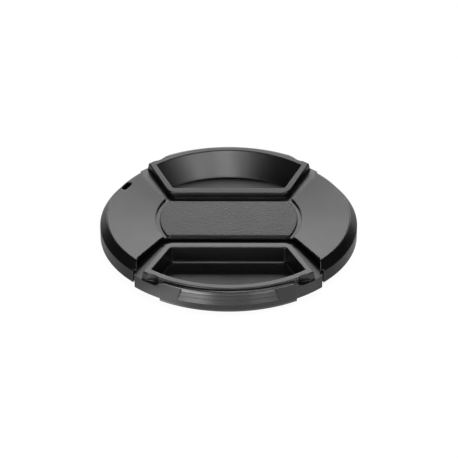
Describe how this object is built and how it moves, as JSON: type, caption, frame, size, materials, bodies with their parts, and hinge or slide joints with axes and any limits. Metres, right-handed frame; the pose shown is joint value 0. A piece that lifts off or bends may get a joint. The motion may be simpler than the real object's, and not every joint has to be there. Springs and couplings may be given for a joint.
{
  "type": "camera lens cap",
  "caption": "Round clip-on camera lens cap in black plastic: bevelled shell with a textured centre bridge and sprung pinch tabs with finger pockets that catch a 58 mm filter thread.",
  "frame": {"origin": "under the centre of the cap, on the plane that it lies on with its front face up", "axes": "+Z out of the front face, +Y from the front pinch tab to the rear one along the way the tabs slide, +X to the right seen from the front tab"},
  "size_m": [0.062, 0.0654, 0.0077],
  "materials": {
    "shell_plastic": "satin black moulded plastic with a fine spark-eroded texture on the centre disc",
    "tab_plastic": "satin black moulded plastic",
    "plate_plastic": "dull black moulded plastic",
    "screw_steel": "blackened steel",
    "spring_steel": "drawn spring wire"
  },
  "bodies": {
    "shell": {"front_shell": "shell_plastic", "rear_plate": "plate_plastic", "plate_screws": "screw_steel", "left_spring": "spring_steel", "right_spring": "spring_steel"},
    "front_tab": {"front_tab": "tab_plastic"},
    "rear_tab": {"rear_tab": "tab_plastic"}
  },
  "joints": [
    {"name": "front_tab_slide", "type": "slide", "parent": "shell", "child": "front_tab", "axis": [0, 1, 0], "range_m": [0, 0.002], "stiffness_N_per_m": 500, "springref_m": -0.004, "deforming": ["left_spring", "right_spring"]},
    {"name": "rear_tab_slide", "type": "slide", "parent": "shell", "child": "rear_tab", "axis": [0, -1, 0], "range_m": [0, 0.002], "stiffness_N_per_m": 500, "springref_m": -0.004, "deforming": ["left_spring", "right_spring"]}
  ]
}
